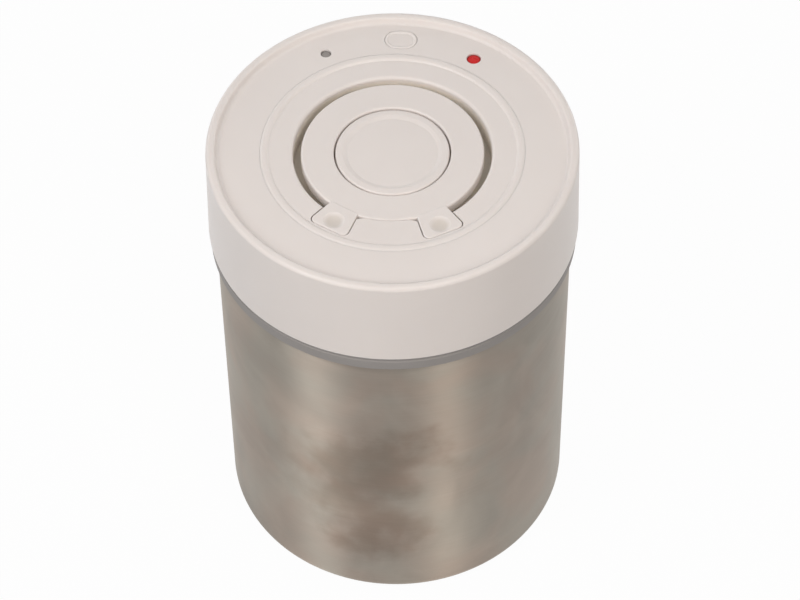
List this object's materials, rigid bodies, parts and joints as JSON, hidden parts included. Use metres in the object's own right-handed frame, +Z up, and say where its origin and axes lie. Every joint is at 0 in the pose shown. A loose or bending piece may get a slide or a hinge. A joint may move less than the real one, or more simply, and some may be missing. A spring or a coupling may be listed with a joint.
{
  "type": "vacuum seal canister",
  "caption": "Round steel food canister under a battery lid that pumps the air out, with a fold-up ring handle, a centre release button, a start key and two lamps.",
  "frame": {"origin": "middle of the circle that the can stands on, at table height", "axes": "+Z up along the can's axis; -Y is the front, where the handle is hinged; +Y is the back, where the start key is; +X is the right, where the red lamp is"},
  "size_m": [0.1318, 0.1318, 0.18],
  "materials": {
    "steel": "satin stainless steel, drawn and lightly brushed",
    "shell": "warm off-white, fine satin moulding",
    "tray": "off-white, plain moulding",
    "gasket": "grey silicone, matt",
    "seal": "pale silicone, matt",
    "red_lens": "red tinted, polished",
    "grey_lens": "smoke grey tinted, polished",
    "fastener": "zinc plated",
    "spring": "bright drawn wire",
    "contact": "nickel plated strip",
    "cell": null,
    "board": "solder-masked laminate",
    "component": "black moulded component",
    "led": "clear epoxy",
    "pump": "dark engineering plastic",
    "motor": null,
    "filter": "felt disc"
  },
  "bodies": {
    "canister": {"canister_body": "steel"},
    "lid": {"rim_gasket": "gasket", "lid_cover": "shell", "centre_panel": "shell", "handle_pins": "fastener", "release_spring": "spring", "switch_body": "component", "red_lens": "red_lens", "grey_lens": "grey_lens", "indicator_leds": "led", "control_board": "board", "board_screws": "fastener", "lid_base": "tray", "base_screws": "fastener", "battery_door_left": "tray", "battery_door_right": "tray", "door_seals": "seal", "door_screws": "fastener", "battery_cells": "cell", "battery_contacts": "contact", "battery_springs": "spring", "pump_block": "pump", "valve_flaps": "seal", "pump_diaphragm": "seal", "pump_housing": "pump", "pump_screws": "fastener", "pump_motor": "motor", "intake_filter": "filter", "vacuum_sensor": "component"},
    "handle": {"handle_ring": "shell"},
    "release": {"release_button": "shell", "release_stem": "tray", "valve_poppet": "seal"},
    "start": {"start_button": "shell", "switch_plunger": "component"},
    "rotor": {"motor_shaft": "spring", "pump_crank": "pump"},
    "yoke": {"pump_yoke": "pump"}
  },
  "joints": [
    {"name": "lid_lift", "type": "slide", "parent": "canister", "child": "lid", "axis": [0, 0, 1], "range_m": [0, 0.06]},
    {"name": "handle_fold", "type": "hinge", "parent": "lid", "child": "handle", "pos_m": [0, -0.0285, 0.1751], "axis": [1, 0, 0], "range_deg": [0, 90]},
    {"name": "release_press", "type": "slide", "parent": "lid", "child": "release", "axis": [0, 0, -1], "range_m": [0, 0.0025], "stiffness_N_per_m": 1500, "springref_m": -0.002, "deforming": ["release_spring"]},
    {"name": "start_press", "type": "slide", "parent": "lid", "child": "start", "axis": [0, 0, -1], "range_m": [0, 0.0006], "stiffness_N_per_m": 800, "springref_m": -0.0005},
    {"name": "motor_spin", "type": "hinge", "parent": "lid", "child": "rotor", "pos_m": [0, 0.0283, 0.1511], "axis": [0, 1, 0], "continuous": true},
    {"name": "yoke_stroke", "type": "slide", "parent": "lid", "child": "yoke", "axis": [0, 0, 1], "range_m": [-0.0008, 0.0008], "stiffness_N_per_m": 500, "deforming": ["pump_diaphragm"]}
  ]
}
